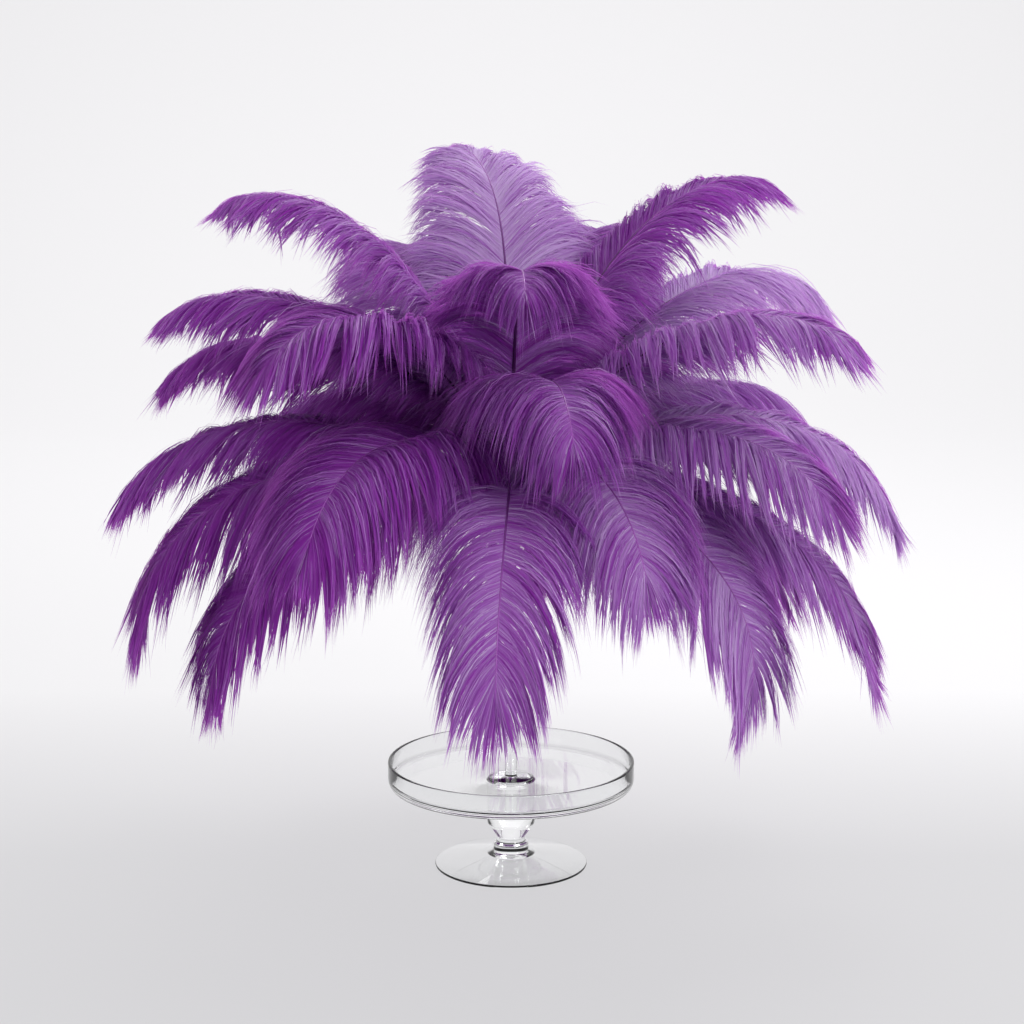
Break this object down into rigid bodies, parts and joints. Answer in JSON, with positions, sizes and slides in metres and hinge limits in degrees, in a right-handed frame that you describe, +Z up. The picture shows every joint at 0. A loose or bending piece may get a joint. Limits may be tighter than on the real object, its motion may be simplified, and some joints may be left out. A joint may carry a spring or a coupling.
{
  "type": "ostrich feather centrepiece",
  "caption": "Dome of drooping dyed ostrich plumes whose quills are set in a foam ball, held by a slim clear glass vase on a clear footed cake stand.",
  "frame": {"origin": "centre of the flat underside of the cake stand's foot, on the table", "axes": "+Z up along the stand's and the vase's axis, -Y toward the viewer of the front, +X to the viewer's right"},
  "size_m": [0.8076, 0.798, 0.7208],
  "materials": {
    "clear_glass": "clear polished glass with a faint green-grey edge",
    "purple_foam": "matt foam painted dark purple",
    "purple_plume": "soft silky feather barbs dyed purple, darker at the quill and lighter where light comes through"
  },
  "bodies": {
    "root": {"glass_cake_stand": "clear_glass", "glass_vase": "clear_glass", "foam_ball": "purple_foam", "plume_low_front": "purple_plume", "plume_low_front_left": "purple_plume", "plume_low_front_right": "purple_plume", "plume_side_front": "purple_plume", "plume_side_front_left": "purple_plume", "plume_side_front_right": "purple_plume", "plume_mid_front": "purple_plume", "plume_mid_front_left": "purple_plume", "plume_mid_front_right": "purple_plume", "plume_top_front": "purple_plume", "plume_low_left": "purple_plume", "plume_low_right": "purple_plume", "plume_side_left": "purple_plume", "plume_side_right": "purple_plume", "plume_top_left": "purple_plume", "plume_top_right": "purple_plume", "plume_mid_left": "purple_plume", "plume_mid_back_right": "purple_plume", "plume_mid_back_left": "purple_plume", "plume_side_back_right": "purple_plume", "plume_top_back": "purple_plume", "plume_top_back_left": "purple_plume", "plume_top_back_right": "purple_plume", "plume_low_back_right": "purple_plume", "plume_low_back_left": "purple_plume", "plume_low_back": "purple_plume", "plume_side_back_left": "purple_plume", "plume_side_back": "purple_plume", "plume_mid_back": "purple_plume"}
  },
  "joints": []
}
